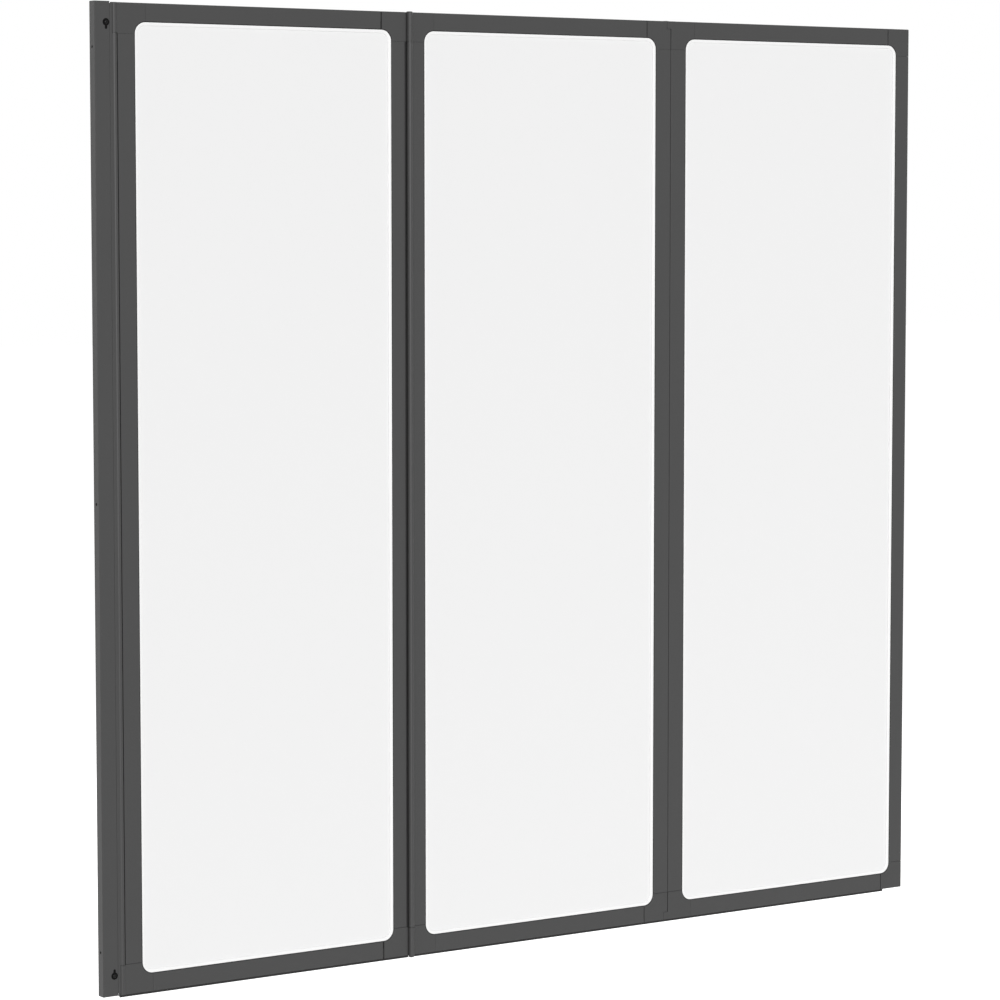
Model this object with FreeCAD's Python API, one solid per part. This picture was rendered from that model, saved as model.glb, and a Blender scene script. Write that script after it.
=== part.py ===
"""Three-panel folding bath screen on a wall channel.

Millimetres. X runs from the wall (x = 0) to the free end, the front is -Y, Z is up.
The origin is the centre of the wall channel's wall face.
"""

import FreeCAD, Part
import os
from dataclasses import dataclass
from FreeCAD import Vector

# Heights
channel_height = 1207.0
panel_drop = 1.0

# Wall channel
channel_width = 20.3
channel_proud = 0.5
channel_wall = 1.5
wall_hole_radius = 1.75
wall_hole_inset = 54.5
cap_thickness = 2.0
cap_tongue_length = 12.0
cap_tongue_thickness = 1.4

# Adjusting profile
arm_start = 5.0
arm_thickness = 1.4
slide_clearance = 0.3

# Clamp screws
clamp_x = 15.6
clamp_inset = 25.0
clamp_screw_radius = 1.5
clamp_head_radius = 2.5
clamp_head_height = 1.3
clamp_socket_radius = 1.1
clamp_socket_depth = 0.7
clamp_plate_width = 8.0
clamp_plate_height = 14.0
clamp_plate_thickness = 3.0
washer_radius = 4.4
washer_tail_width = 3.0
washer_tail_length = 8.4
washer_thickness = 0.7
washer_recess = 0.9
washer_clearance = 0.15

# Frames
frame_depth = 12.0
rail_width = 22.0
end_stile_width = 22.0
wall_stile_width = 26.4
fold_1_left_stile_width = 25.6
fold_1_right_stile_width = 21.6
fold_2_left_stile_width = 23.6
fold_2_right_stile_width = 23.6
pane_visible_width = 366.0
corner_radius = 15.0
outer_corner_radius = 1.5
edge_round = 0.5
profile_wall = 1.4
groove_width = 5.8
groove_depth = 8.0
seam_gap = 0.2
lower_seam_gap = 0.45
right_seam_gap = 1.0
open_seam_gap = 2.0

# Corner pieces
leg_length = 35.0
leg_clearance = 0.2
leg_root = 6.0
corner_screw_radius = 1.3
corner_screw_head_radius = 2.4
corner_screw_head_depth = 1.1
corner_screw_length = 6.0
corner_screw_place = 18.0
corner_screw_clearance = 0.05

# Panes and seals
pane_thickness = 3.0
pane_bite = 6.0
pane_forward = 2.0
gasket_lip = 4.0
gasket_rise = 2.0
glazing_bed_rim = 1.0
glazing_bed_back = 1.4
glazing_bed_clearance = 0.1
pane_clearance = 0.05
drip_seal_drop = 3.0
drip_seal_base = 0.8
drip_seal_width = 6.0
drip_seal_lip = 1.0
drip_seal_setback = 1.0
drip_seal_overlap = 4.0
gap_seal_thickness = 0.5
gap_seal_margin = 0.2

# Hinges
knuckle_radius = 4.0
axis_proud = 0.5
wall_axis_setback = 3.0
stop_gap = 0.4
channel_to_head = 0.3
head_to_axis = 6.6
knuckle_clearance = 0.5
wall_relief_clearance = 0.7
fold_relief_clearance = 0.4
fold_relief_forward = 4.2
lug_groove_width = 1.7
lug_groove_depth = 2.5
tab_height = 10.0
tab_reach = 6.0
tab_depth = 5.0
pin_radius = 2.0
pin_grip = 0.02
pin_running_clearance = 0.05
pin_cap_radius = 3.8
pin_cap_top = 1.0
pin_end_gap = 1.0
bush_wall = 0.85
bush_length = 20.0
bush_flange_radius = 3.9
bush_flange = 0.7
thrust_gap = 0.3

# Levels worked out from the heights
channel_top = channel_height / 2
channel_bottom = -channel_height / 2
panel_top = channel_top - panel_drop
panel_bottom = channel_bottom
corner_height = rail_width + corner_radius
stile_top = panel_top - corner_height - seam_gap
stile_bottom = panel_bottom + corner_height + lower_seam_gap
opening_top = panel_top - rail_width
opening_bottom = panel_bottom + rail_width

# Depths worked out from the sections
channel_depth = frame_depth + 2 * channel_proud
channel_front = -channel_depth / 2
channel_inner = channel_depth / 2 - channel_wall
frame_back = frame_depth / 2
frame_front = -frame_depth / 2
chamber_half = frame_depth / 2 - profile_wall
pane_y = -pane_forward
groove_front = pane_y - groove_width / 2
groove_back = pane_y + groove_width / 2
front_axis_y = frame_front - axis_proud
wall_axis_y = front_axis_y + wall_axis_setback
rear_axis_y = frame_back + axis_proud
bush_radius = pin_radius + pin_running_clearance + bush_wall
wall_relief = knuckle_radius + wall_relief_clearance
fold_relief = knuckle_radius + fold_relief_forward + fold_relief_clearance

# Directions along the screen and up it
sideways = Vector(1, 0, 0)
upward = Vector(0, 0, 1)

# Places along the screen, from the wall to the free end
head_start = channel_width + channel_to_head
wall_axis_x = head_start + head_to_axis
panel_1_left = wall_axis_x + stop_gap
opening_1_left = panel_1_left + wall_stile_width
opening_1_right = opening_1_left + pane_visible_width
panel_1_right = opening_1_right + fold_1_left_stile_width
fold_1_axis_x = panel_1_right + stop_gap
panel_2_left = fold_1_axis_x + stop_gap
opening_2_left = panel_2_left + fold_1_right_stile_width
opening_2_right = opening_2_left + pane_visible_width
panel_2_right = opening_2_right + fold_2_left_stile_width
fold_2_axis_x = panel_2_right + stop_gap
panel_3_left = fold_2_axis_x + stop_gap
opening_3_left = panel_3_left + fold_2_right_stile_width
opening_3_right = opening_3_left + pane_visible_width
panel_3_right = opening_3_right + end_stile_width


def slab(x0, x1, y0, y1, z0, z1):
    """Box between two opposite corners, given in any order."""
    low = Vector(min(x0, x1), min(y0, y1), min(z0, z1))
    return Part.makeBox(abs(x1 - x0), abs(y1 - y0), abs(z1 - z0), low)


def rod(x, y, z0, z1, radius):
    """Upright round bar between two heights."""
    return Part.makeCylinder(radius, abs(z1 - z0), Vector(x, y, min(z0, z1)))


def cross_rod(x, z, y0, y1, radius):
    """Round bar from front to back at one place of the screen's face."""
    return Part.makeCylinder(radius, abs(y1 - y0), Vector(x, min(y0, y1), z), Vector(0, 1, 0))


def bar(x0, x1, y0, y1, z0, z1, along):
    """Extruded bar whose four edges along one direction are rounded."""
    body = slab(x0, x1, y0, y1, z0, z1)
    chosen = [e for e in body.Edges if abs(e.tangentAt(e.FirstParameter).dot(along)) > 0.5]
    return body.makeFillet(edge_round, chosen)


def rounded_plate(x0, x1, z0, z1, half, radius):
    """Plate centred on the pane's plane, with its four corners rounded."""
    plate = slab(x0, x1, pane_y - half, pane_y + half, z0, z1)
    corners = [e for e in plate.Edges if abs(e.tangentAt(e.FirstParameter).y) > 0.5]
    return plate.makeFillet(radius, corners)


def export(name, shape):
    """Write one node after merging faces that lie on one surface."""
    shape.removeSplitter().exportStep("parts/" + name + ".step")


@dataclass
class Hinge:
    """Upright hinge line: its place, and the room its bead has in the stile that faces it."""

    x: float
    y: float
    relief: float
    relief_forward: float = 0.0
    capped: bool = True

    @property
    def side(self):
        """-1 where the line lies before the front face, 1 behind the rear face."""
        return -1 if self.y < 0 else 1

    @property
    def is_fold(self):
        """Whether two panels meet here, so that one lies flat on the other when folded."""
        return self.relief_forward > 0

    @property
    def relief_y(self):
        """Y of the centre of the round room for the bead."""
        return self.y + self.side * self.relief_forward

    @property
    def relief_floor(self):
        """Y of the deepest line of that room."""
        return self.relief_y - self.side * self.relief


@dataclass
class Edge:
    """One upright edge of a panel: outside edge, pane edge and what it does in a hinge."""

    outer: float
    inner: float
    hinge: Hinge = None
    carries_bead: bool = False
    rail_seam: float = seam_gap

    @property
    def toward(self):
        """Direction from the outside edge to the pane."""
        return 1 if self.inner > self.outer else -1

    @property
    def chamber(self):
        """The two X limits of the hollow that takes the corner pieces' legs."""
        start = self.outer
        if self.hinge:
            room = knuckle_radius if self.carries_bead else self.hinge.relief
            start = self.hinge.x + self.toward * room
        end = self.inner - self.toward * (groove_depth + profile_wall)
        return start + self.toward * profile_wall, end

    @property
    def seam(self):
        """X of the seam between the rails and the corner pieces."""
        return self.inner + self.toward * corner_radius


@dataclass
class End:
    """Top or bottom end of the panels."""

    name: str
    level: float
    inward: int
    stile_end: float
    cap: float

    @property
    def seam(self):
        """Height of the seam between the stiles and the corner pieces."""
        return self.level + self.inward * corner_height

    @property
    def lug_end(self):
        """Height where the corner pieces' knuckles stop short of the bush flange."""
        return self.stile_end - self.inward * (bush_flange + thrust_gap)

    @property
    def chamber(self):
        """The two heights between which a rail is hollow."""
        outer = self.level + self.inward * profile_wall
        inner = self.level + self.inward * (rail_width - groove_depth - profile_wall)
        return outer, inner


wall_hinge = Hinge(wall_axis_x, wall_axis_y, wall_relief, capped=False)
fold_1 = Hinge(fold_1_axis_x, front_axis_y, fold_relief, fold_relief_forward)
fold_2 = Hinge(fold_2_axis_x, rear_axis_y, fold_relief, fold_relief_forward)

top = End("top", panel_top, -1, stile_top, pin_cap_top)
bottom = End("bottom", panel_bottom, 1, stile_bottom, drip_seal_drop)

panels = {
    "panel_1": (
        Edge(panel_1_left, opening_1_left, wall_hinge),
        Edge(panel_1_right, opening_1_right, fold_1, rail_seam=open_seam_gap),
    ),
    "panel_2": (
        Edge(panel_2_left, opening_2_left, fold_1, carries_bead=True),
        Edge(panel_2_right, opening_2_right, fold_2, rail_seam=right_seam_gap),
    ),
    "panel_3": (
        Edge(panel_3_left, opening_3_left, fold_2, carries_bead=True),
        Edge(panel_3_right, opening_3_right, rail_seam=right_seam_gap),
    ),
}


def corner_screw(x, z, clearance):
    """Countersunk screw flush with the rear face, or its hole when given a clearance."""
    tip = frame_back - corner_screw_length - clearance
    shank = cross_rod(x, z, tip, frame_back, corner_screw_radius + clearance)
    head = Part.makeCone(
        corner_screw_radius + clearance,
        corner_screw_head_radius + clearance,
        corner_screw_head_depth,
        Vector(x, frame_back - corner_screw_head_depth, z),
        Vector(0, 1, 0),
    )
    return shank.fuse(head)


def corner_screw_places(edge, end):
    """Places of the two screws of a corner piece: in its rail leg and in its stile leg."""
    rail_place = (edge.seam + edge.toward * corner_screw_place, sum(end.chamber) / 2)
    stile_place = (sum(edge.chamber) / 2, end.seam + end.inward * corner_screw_place)
    return rail_place, stile_place


def cut_screw_holes(body, edge, end):
    """Drill a corner's two screw holes into a body."""
    for x, z in corner_screw_places(edge, end):
        body = body.cut(corner_screw(x, z, corner_screw_clearance))
    return body


def stile(edge):
    """Upright extrusion between two corner pieces, with its hinge bead or the room for one."""
    levels = (stile_bottom, stile_top)
    body = bar(edge.outer, edge.inner, frame_front, frame_back, *levels, upward)
    groove_start = edge.inner - edge.toward * groove_depth
    body = body.cut(slab(groove_start, edge.inner, groove_front, groove_back, *levels))
    body = body.cut(slab(*edge.chamber, -chamber_half, chamber_half, *levels))
    if edge.hinge and edge.carries_bead:
        body = body.fuse(rod(edge.hinge.x, edge.hinge.y, *levels, knuckle_radius))
        body = body.cut(rod(edge.hinge.x, edge.hinge.y, *levels, bush_radius + pin_grip))
    elif edge.hinge:
        body = body.cut(rod(edge.hinge.x, edge.hinge.relief_y, *levels, edge.hinge.relief))
    for end in (top, bottom):
        body = cut_screw_holes(body, edge, end)
    return body


def rail(left, right, end):
    """Level extrusion between two corner pieces."""
    span = (left.seam + left.rail_seam, right.seam - right.rail_seam)
    opening_edge = end.level + end.inward * rail_width
    body = bar(*span, frame_front, frame_back, end.level, opening_edge, sideways)
    groove_start = opening_edge - end.inward * groove_depth
    body = body.cut(slab(*span, groove_front, groove_back, groove_start, opening_edge))
    body = body.cut(slab(*span, -chamber_half, chamber_half, *end.chamber))
    for edge in (left, right):
        body = cut_screw_holes(body, edge, end)
    return body


def leg_limits(limits):
    """A leg's two limits inside a hollow, less the clearance at each side."""
    low, high = sorted(limits)
    return low + leg_clearance, high - leg_clearance


def corner(edge, end):
    """Moulded corner piece with its two legs and, beside a hinge, its knuckle or room for one."""
    body = slab(edge.outer, edge.seam, frame_front, frame_back, end.level, end.seam)
    if not edge.hinge:
        body = round_outer_corner(body, edge, end)
    body = body.cut(cross_rod(edge.seam, end.seam, frame_front, frame_back, corner_radius))
    body = soften_outline(body, edge, end)
    groove = corner_radius + groove_depth
    body = body.cut(cross_rod(edge.seam, end.seam, groove_front, groove_back, groove))
    leg_half = chamber_half - leg_clearance
    rail_leg = (edge.seam - edge.toward * leg_root, edge.seam + edge.toward * leg_length)
    body = body.fuse(slab(*rail_leg, -leg_half, leg_half, *leg_limits(end.chamber)))
    stile_leg = (end.seam - end.inward * leg_root, end.seam + end.inward * leg_length)
    body = body.fuse(slab(*leg_limits(edge.chamber), -leg_half, leg_half, *stile_leg))
    if edge.hinge and edge.carries_bead:
        room = knuckle_radius + knuckle_clearance
        body = body.cut(rod(edge.hinge.x, edge.hinge.y, end.level, end.seam, room))
        body = body.fuse(cover_tab(edge, end, 0))
    elif edge.hinge:
        body = add_knuckle(body, edge, end)
        if edge.hinge.is_fold:
            body = body.cut(cover_tab(edge, end, stop_gap))
    return cut_screw_holes(body, edge, end)


def round_outer_corner(body, edge, end):
    """Round the outside corner of a corner piece at the screen's free end."""
    place = Vector(edge.outer, 0, end.level)
    chosen = [e for e in body.Edges if e.CenterOfMass.distanceToPoint(place) < seam_gap]
    return body.makeFillet(outer_corner_radius, chosen)


def soften_outline(body, edge, end):
    """Round the front and rear outline of a corner piece, but not its seams."""
    chosen = []
    for line in body.Edges:
        middle = line.CenterOfMass
        on_face = abs(abs(middle.y) - frame_back) < seam_gap
        on_seam = min(abs(middle.x - edge.seam), abs(middle.z - end.seam)) < seam_gap
        if on_face and not on_seam:
            chosen.append(line)
    return body.makeFillet(edge_round, chosen)


def cover_tab(edge, end, clearance):
    """Tab that covers a fold's gap at the panel's end, or its notch when given a clearance."""
    far_face = -edge.hinge.side * frame_depth / 2
    inside = far_face + edge.hinge.side * (tab_depth + clearance)
    bead_side = edge.toward if edge.carries_bead else -edge.toward
    root = edge.hinge.x + bead_side * (stop_gap + leg_root)
    tip = edge.hinge.x - bead_side * (stop_gap + tab_reach + clearance)
    height = end.level + end.inward * (tab_height + clearance)
    return slab(root, tip, far_face, inside, end.level, height)


def add_knuckle(body, edge, end):
    """Knuckle of a corner piece, bored for the pin and cut back from the bush flange."""
    hinge = edge.hinge
    room = knuckle_radius + knuckle_clearance
    if hinge.is_fold:
        face = hinge.side * frame_depth / 2
        groove_start = hinge.x + edge.toward * knuckle_radius
        groove = (groove_start, groove_start + edge.toward * lug_groove_width)
        groove_floor = face - hinge.side * lug_groove_depth
        body = body.cut(slab(*groove, face, groove_floor, end.level, end.seam))
    body = body.fuse(rod(hinge.x, hinge.y, end.level, end.lug_end, knuckle_radius))
    body = body.cut(rod(hinge.x, hinge.y, end.lug_end, end.seam, room))
    return body.cut(rod(hinge.x, hinge.y, end.level, end.lug_end, pin_radius + pin_grip))


def pane(left, right, grow, half):
    """Rounded plate that reaches past the visible opening by grow on every side."""
    return rounded_plate(
        left.inner - grow,
        right.inner + grow,
        opening_bottom - grow,
        opening_top + grow,
        half,
        corner_radius + grow,
    )


def pane_slot(left, right):
    """Room for the pane in the soft strips that hold it."""
    return pane(left, right, pane_bite + pane_clearance, pane_thickness / 2 + pane_clearance)


def glazing_bed(left, right):
    """Channel of dark strip in the grooves, whose rim shows as a line round the pane."""
    half = groove_width / 2 - glazing_bed_clearance
    ring = pane(left, right, pane_bite + glazing_bed_back, half)
    ring = ring.cut(pane(left, right, -glazing_bed_rim, half))
    return ring.cut(pane_slot(left, right))


def gasket(left, right):
    """Raised lip on each face of the pane, against the rim of the glazing bed."""
    half = pane_thickness / 2 + gasket_rise
    ring = pane(left, right, -glazing_bed_rim, half)
    ring = ring.cut(pane(left, right, -glazing_bed_rim - gasket_lip, half))
    return ring.cut(pane_slot(left, right))


def drip_seal(start, end):
    """Soft lip under a bottom rail, tapered towards the bath's rim."""
    front = frame_front + drip_seal_setback
    base = panel_bottom - drip_seal_base
    tip = panel_bottom - drip_seal_drop
    outline = [
        (front, panel_bottom),
        (front + drip_seal_width, panel_bottom),
        (front + drip_seal_width, base),
        (front + drip_seal_width / 2, base),
        (front + drip_seal_lip, tip),
        (front, tip),
    ]
    points = [Vector(start, y, z) for y, z in outline]
    face = Part.Face(Part.makePolygon(points + points[:1]))
    return face.extrude(Vector(end - start, 0, 0))


def gap_seal(edge):
    """Flat strip on a stile's outside face that closes the gap beside a hinge."""
    hinge = edge.hinge
    near = hinge.relief_floor - hinge.side * gap_seal_margin
    far = -hinge.side * (frame_depth / 2 - gap_seal_margin)
    face = edge.outer - edge.toward * gap_seal_thickness
    return slab(face, edge.outer, near, far, stile_bottom, stile_top)


def hinge_pins(hinge):
    """The two pins of a hinge: each runs through a corner's knuckle into a bush."""
    pins = []
    for end in (top, bottom):
        tip = end.stile_end + end.inward * (bush_length - pin_end_gap)
        if hinge.capped:
            shank = rod(hinge.x, hinge.y, end.level, tip, pin_radius)
            outside = end.level - end.inward * end.cap
            pins.append(shank.fuse(rod(hinge.x, hinge.y, end.level, outside, pin_cap_radius)))
        else:
            sunk = end.level + end.inward * pin_end_gap
            pins.append(rod(hinge.x, hinge.y, sunk, tip, pin_radius))
    return Part.makeCompound([pin.removeSplitter() for pin in pins])


def hinge_bushes(hinge):
    """The two flanged bushes in the ends of a hinge's bead."""
    bushes = []
    for end in (top, bottom):
        inner_end = end.stile_end + end.inward * bush_length
        outer_end = end.stile_end - end.inward * bush_flange
        sleeve = rod(hinge.x, hinge.y, end.stile_end, inner_end, bush_radius)
        flange = rod(hinge.x, hinge.y, end.stile_end, outer_end, bush_flange_radius)
        bore = rod(hinge.x, hinge.y, inner_end, outer_end, pin_radius + pin_running_clearance)
        bushes.append(sleeve.fuse(flange).cut(bore).removeSplitter())
    return Part.makeCompound(bushes)


def washer_shape(z, toward_middle, y0, y1, clearance):
    """Round pad with a narrow tail that points to the screen's mid-height."""
    pad = cross_rod(clamp_x, z, y0, y1, washer_radius + clearance)
    tail_half = washer_tail_width / 2 + clearance
    tail_end = z + toward_middle * (washer_tail_length - tail_half)
    tail = slab(clamp_x - tail_half, clamp_x + tail_half, y0, y1, z, tail_end)
    return pad.fuse(tail).fuse(cross_rod(clamp_x, tail_end, y0, y1, tail_half))


# Height of each clamp screw, with the direction from it to mid-height
clamp_places = ((channel_top - clamp_inset, -1), (channel_bottom + clamp_inset, 1))
washer_floor = channel_front + washer_recess
washer_face = washer_floor - washer_thickness


def wall_channel():
    """U section with wall holes in its web and a recess round each clamp screw."""
    levels = (channel_bottom, channel_top)
    square_edge = channel_width + edge_round
    body = bar(0, square_edge, channel_front, -channel_front, *levels, upward)
    body = body.cut(slab(channel_width, square_edge, channel_front, -channel_front, *levels))
    body = body.cut(slab(channel_wall, channel_width, -channel_inner, channel_inner, *levels))
    hole_z = channel_top - wall_hole_inset
    for z in (hole_z, 0, -hole_z):
        drill = Part.makeCylinder(wall_hole_radius, channel_wall, Vector(0, 0, z), Vector(1, 0, 0))
        body = body.cut(drill)
    for z, toward_middle in clamp_places:
        body = body.cut(washer_shape(z, toward_middle, channel_front, washer_floor, washer_clearance))
        hole_radius = clamp_screw_radius + washer_clearance
        body = body.cut(cross_rod(clamp_x, z, channel_front, -channel_inner, hole_radius))
    return body


def channel_cap(level, inward):
    """Plug in one end of the wall channel, with a tongue along its web."""
    reach = channel_inner - leg_clearance
    web = channel_wall + leg_clearance
    inside = level + inward * cap_thickness
    tongue_end = inside + inward * cap_tongue_length
    plate = slab(web, channel_width, -reach, reach, level, inside)
    return plate.fuse(slab(web, web + cap_tongue_thickness, -reach, reach, level, tongue_end))


def adjusting_profile():
    """Slotted profile that slides in the wall channel and carries the wall hinge's bead."""
    low = channel_bottom + cap_thickness + slide_clearance
    high = channel_top - cap_thickness - slide_clearance
    head_end = wall_axis_x - stop_gap
    arm_face = channel_inner - slide_clearance
    body = bar(head_start, head_end, channel_front, frame_back, low, high, upward)
    for side in (-1, 1):
        inner_face = side * (arm_face - arm_thickness)
        body = body.fuse(slab(arm_start, head_start, side * arm_face, inner_face, low, high))
    room = knuckle_radius + knuckle_clearance
    body = body.cut(rod(wall_hinge.x, wall_hinge.y, low, stile_bottom, room))
    body = body.cut(rod(wall_hinge.x, wall_hinge.y, stile_top, high, room))
    bead = (wall_hinge.x, wall_hinge.y, stile_bottom, stile_top)
    body = body.fuse(rod(*bead, knuckle_radius)).cut(rod(*bead, bush_radius + pin_grip))
    slot_half = clamp_screw_radius + slide_clearance
    for z, _ in clamp_places:
        slot = slab(arm_start, clamp_x, -arm_face, 0, z - slot_half, z + slot_half)
        body = body.cut(slot.fuse(cross_rod(clamp_x, z, -arm_face, 0, slot_half)))
    return body


def clamp_screw(z):
    """Screw with a rounded head and a hexagon socket, through the washer into its plate."""
    end = clamp_plate_face + clamp_plate_thickness
    head_top = washer_face - clamp_head_height
    head = cross_rod(clamp_x, z, washer_face, head_top, clamp_head_radius)
    rim = [e for e in head.Edges if abs(e.CenterOfMass.y - head_top) < washer_clearance]
    head = head.makeFillet(clamp_head_height / 2, rim[:1])
    body = head.fuse(cross_rod(clamp_x, z, washer_face, end, clamp_screw_radius))
    hexagon = Part.makePolygon([socket_corner(z, head_top, turn) for turn in range(0, 361, 60)])
    return body.cut(Part.Face(hexagon).extrude(Vector(0, clamp_socket_depth, 0)))


def socket_corner(z, y, turn):
    """One corner of the hexagon socket, at an angle in degrees."""
    spoke = FreeCAD.Rotation(Vector(0, 1, 0), turn).multVec(Vector(clamp_socket_radius, 0, 0))
    return Vector(clamp_x, y, z) + spoke


clamp_plate_face = -(channel_inner - slide_clearance - arm_thickness) + slide_clearance


def clamp_plate(z):
    """Threaded plate between the adjusting profile's arms."""
    half_width = clamp_plate_width / 2
    half_height = clamp_plate_height / 2
    span = (clamp_x - half_width, clamp_x + half_width)
    back = clamp_plate_face + clamp_plate_thickness
    plate = slab(*span, clamp_plate_face, back, z - half_height, z + half_height)
    return plate.cut(cross_rod(clamp_x, z, clamp_plate_face, back, clamp_screw_radius + pin_grip))


def clamp_washer(z, toward_middle):
    """Dark pad under a clamp screw's head."""
    pad = washer_shape(z, toward_middle, washer_face, washer_floor, 0)
    hole_radius = clamp_screw_radius + washer_clearance
    return pad.cut(cross_rod(clamp_x, z, washer_face, washer_floor, hole_radius)).removeSplitter()


def drip_seal_span(left, right):
    """X limits of a panel's drip seal: clear of the pin caps, and just past a free corner's seam."""
    start = left.outer
    if not left.hinge.capped:
        start = left.hinge.x - knuckle_radius
    elif left.hinge.side < 0:
        start = left.hinge.x + pin_cap_radius + knuckle_clearance
    end = right.outer
    if not right.hinge:
        end = right.seam - right.toward * drip_seal_overlap
    elif right.hinge.side < 0:
        end = right.hinge.x - pin_cap_radius
    return start, end


def build_wall_assembly():
    """Wall channel, its caps, the clamp screws and the adjusting profile."""
    export("wall_channel", wall_channel())
    export("channel_top_cap", channel_cap(channel_top, -1))
    export("channel_bottom_cap", channel_cap(channel_bottom, 1))
    export("adjusting_profile", adjusting_profile())
    export("clamp_screws", Part.makeCompound([clamp_screw(z) for z, _ in clamp_places]))
    export("clamp_plates", Part.makeCompound([clamp_plate(z) for z, _ in clamp_places]))
    export("clamp_washers", Part.makeCompound([clamp_washer(*place) for place in clamp_places]))


def build_hinges():
    """Pins, bushes and gap seals of the three hinges."""
    sealed_edges = {
        "wall": panels["panel_1"][0],
        "fold_1": panels["panel_2"][0],
        "fold_2": panels["panel_3"][0],
    }
    for name, edge in sealed_edges.items():
        export(name + "_hinge_pins", hinge_pins(edge.hinge))
        export(name + "_hinge_bushes", hinge_bushes(edge.hinge))
        export(name + "_gap_seal", gap_seal(edge))


def build_panel(name, left, right):
    """Frame, corner pieces, pane, its strips, drip seal and corner screws of one panel."""
    export(name + "_left_stile", stile(left))
    export(name + "_right_stile", stile(right))
    screws = []
    for end in (top, bottom):
        export(name + "_" + end.name + "_rail", rail(left, right, end))
        for side, edge in (("left", left), ("right", right)):
            export(name + "_" + end.name + "_" + side + "_corner", corner(edge, end))
            screws += [corner_screw(x, z, 0) for x, z in corner_screw_places(edge, end)]
    export(name + "_corner_screws", Part.makeCompound([s.removeSplitter() for s in screws]))
    export(name + "_pane", pane(left, right, pane_bite, pane_thickness / 2))
    export(name + "_glazing_bed", glazing_bed(left, right))
    export(name + "_gasket", gasket(left, right))
    export(name + "_drip_seal", drip_seal(*drip_seal_span(left, right)))


os.makedirs("parts", exist_ok=True)
build_wall_assembly()
build_hinges()
for panel_name, edges in panels.items():
    build_panel(panel_name, *edges)
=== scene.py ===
"""Looks of a three-panel folding bath screen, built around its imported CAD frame.

The frame is in metres. Sizes in this file are millimetres unless their name says otherwise.
"""

import logging
import math
from collections.abc import Mapping, Sequence
from dataclasses import dataclass, field
from enum import Enum
from functools import cached_property
from typing import Any, ClassVar

import bpy
import numpy as np
from mathutils import Euler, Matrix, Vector


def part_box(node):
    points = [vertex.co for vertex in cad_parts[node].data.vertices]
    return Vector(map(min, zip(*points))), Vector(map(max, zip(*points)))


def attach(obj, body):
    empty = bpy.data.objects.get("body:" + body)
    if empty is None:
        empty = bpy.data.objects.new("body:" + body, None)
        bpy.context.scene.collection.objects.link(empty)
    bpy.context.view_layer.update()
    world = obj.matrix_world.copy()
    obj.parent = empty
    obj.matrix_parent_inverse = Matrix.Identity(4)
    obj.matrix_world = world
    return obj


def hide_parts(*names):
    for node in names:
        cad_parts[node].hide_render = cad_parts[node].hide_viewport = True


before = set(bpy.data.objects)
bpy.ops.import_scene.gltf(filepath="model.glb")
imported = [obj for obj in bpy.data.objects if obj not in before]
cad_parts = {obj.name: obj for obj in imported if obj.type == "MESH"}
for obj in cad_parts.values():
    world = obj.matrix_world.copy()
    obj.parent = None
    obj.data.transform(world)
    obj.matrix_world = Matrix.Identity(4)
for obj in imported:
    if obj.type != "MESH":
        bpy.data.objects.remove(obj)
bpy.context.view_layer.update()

LOG = logging.getLogger("bath_screen")
Array = np.ndarray
Settings = Mapping[str, Any]
Sockets = Mapping[str | int, Any]
MM = 0.001
TINY = 1e-9
CREASE_ANGLE = math.radians(38)
NOISE_MEAN = 0.5
# Sockets of the Mix node that carry colours
MIX_FIRST, MIX_SECOND, MIX_RESULT = 6, 7, 2


class Slot(Enum):
    """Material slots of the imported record."""

    POWDER = "anthracite_powder_coat"
    PLASTIC = "anthracite_plastic"
    PANE = "frosted_pane"
    GASKET = "white_gasket"
    SEAL = "dark_seal"
    BUSH = "bush_plastic"
    BLACK = "black_fixing"
    STEEL = "steel_fixing"


class Body(Enum):
    """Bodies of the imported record, from the wall to the free end."""

    CHANNEL = "wall_channel"
    PROFILE = "adjusting_profile"
    PANEL_1 = "panel_1"
    PANEL_2 = "panel_2"
    PANEL_3 = "panel_3"


class PanelEnd(Enum):
    """End of a panel, with the direction that leads out of it."""

    TOP = 1
    BOTTOM = -1


class PaneFace(Enum):
    """Face of a pane, with its direction along Y."""

    FRONT = -1
    REAR = 1


@dataclass(frozen=True)
class Signal:
    """Output socket of a node, on which arithmetic adds Math nodes."""

    graph: "NodeGraph"
    socket: bpy.types.NodeSocket

    def _maths(self, operation: str, first: Any, second: Any) -> "Signal":
        """Add one Math node.

        Args:
            operation: Name of the Math node's operation.
            first: Signal or number of the first input.
            second: Signal or number of the second input.

        Returns:
            The node's result.
        """
        return self.graph.signal("ShaderNodeMath", {"operation": operation}, {0: first, 1: second})

    def __add__(self, other: Any) -> "Signal":
        """Sum with a signal or a number.

        Args:
            other: Signal or number to add.

        Returns:
            The sum.
        """
        return self._maths("ADD", self, other)

    def __radd__(self, other: Any) -> "Signal":
        """Sum with a number on the left.

        Args:
            other: Number to add to.

        Returns:
            The sum.
        """
        return self._maths("ADD", other, self)

    def __sub__(self, other: Any) -> "Signal":
        """Difference to a signal or a number.

        Args:
            other: Signal or number to take away.

        Returns:
            The difference.
        """
        return self._maths("SUBTRACT", self, other)

    def __rsub__(self, other: Any) -> "Signal":
        """Difference from a number on the left.

        Args:
            other: Number to take this from.

        Returns:
            The difference.
        """
        return self._maths("SUBTRACT", other, self)

    def __mul__(self, other: Any) -> "Signal":
        """Product with a signal or a number.

        Args:
            other: Signal or number to multiply by.

        Returns:
            The product.
        """
        return self._maths("MULTIPLY", self, other)

    def __rmul__(self, other: Any) -> "Signal":
        """Product with a number on the left.

        Args:
            other: Number to multiply.

        Returns:
            The product.
        """
        return self._maths("MULTIPLY", other, self)


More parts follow.
